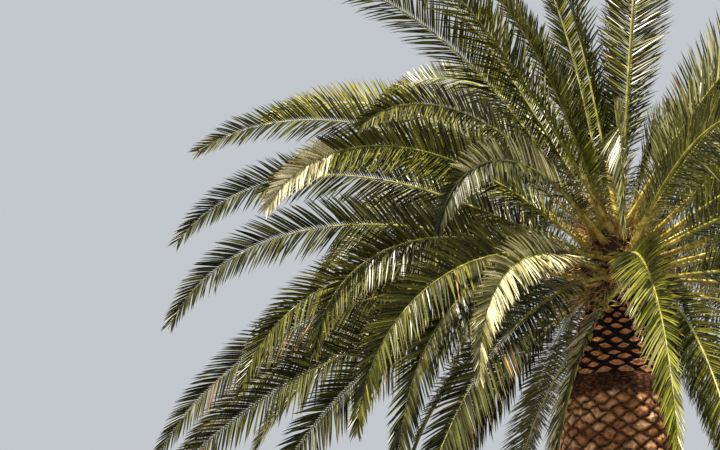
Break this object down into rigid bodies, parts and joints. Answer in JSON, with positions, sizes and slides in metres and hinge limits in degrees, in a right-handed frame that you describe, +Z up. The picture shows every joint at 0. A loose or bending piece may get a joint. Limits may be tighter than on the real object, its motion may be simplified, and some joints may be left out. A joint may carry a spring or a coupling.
{
  "type": "date palm tree",
  "caption": "Stout date palm: scarred trunk with a flared foot, a collar of cut leaf bases and a full round crown of long arching feather fronds.",
  "frame": {"origin": "middle of the flat cut under the trunk, at ground level", "axes": "+Z up; -Y is the side of the crown that shows best, with +X to its right, where the trunk leans"},
  "size_m": [7.1154, 7.003, 8.0947],
  "materials": {
    "bark": "rough",
    "cut_leaf_bases": "rough",
    "sheath_fibre": "rough",
    "frond_green": "satin"
  },
  "bodies": {
    "root": {"arching_frond_11_inner": "frond_green", "arching_frond_11_outer": "frond_green", "arching_frond_24": "frond_green", "arching_frond_pair_01": "frond_green", "arching_frond_pair_02": "frond_green", "arching_frond_pair_03": "frond_green", "arching_frond_pair_04": "frond_green", "arching_frond_pair_05": "frond_green", "arching_frond_pair_06": "frond_green", "arching_frond_pair_07": "frond_green", "arching_frond_pair_08": "frond_green", "arching_frond_pair_09": "frond_green", "arching_frond_pair_10": "frond_green", "arching_frond_pair_12": "frond_green", "arching_frond_pair_13": "frond_green", "arching_frond_pair_14": "frond_green", "arching_frond_pair_15": "frond_green", "arching_frond_pair_16": "frond_green", "arching_frond_pair_17": "frond_green", "arching_frond_pair_18": "frond_green", "arching_frond_pair_19": "frond_green", "arching_frond_pair_20": "frond_green", "arching_frond_pair_21": "frond_green", "arching_frond_pair_22": "frond_green", "arching_frond_pair_23": "frond_green", "hanging_frond_03": "frond_green", "hanging_frond_04": "frond_green", "hanging_frond_05": "frond_green", "hanging_frond_06": "frond_green", "hanging_frond_07": "frond_green", "hanging_frond_08": "frond_green", "hanging_frond_09": "frond_green", "hanging_frond_10": "frond_green", "hanging_frond_11": "frond_green", "hanging_frond_12": "frond_green", "hanging_frond_13": "frond_green", "hanging_frond_14": "frond_green", "hanging_frond_15": "frond_green", "hanging_frond_16": "frond_green", "hanging_frond_17": "frond_green", "hanging_frond_18": "frond_green", "hanging_frond_19": "frond_green", "hanging_frond_20": "frond_green", "hanging_frond_21": "frond_green", "hanging_frond_22": "frond_green", "hanging_frond_pair_01": "frond_green", "hanging_frond_pair_02": "frond_green", "heart": "sheath_fibre", "leaf_base_collar": "cut_leaf_bases", "trunk": "bark", "upright_frond_09_inner": "frond_green", "upright_frond_09_outer": "frond_green", "upright_frond_pair_01": "frond_green", "upright_frond_pair_02": "frond_green", "upright_frond_pair_03": "frond_green", "upright_frond_pair_04": "frond_green", "upright_frond_pair_05": "frond_green", "upright_frond_pair_06": "frond_green", "upright_frond_pair_07": "frond_green", "upright_frond_pair_08": "frond_green"}
  },
  "joints": []
}
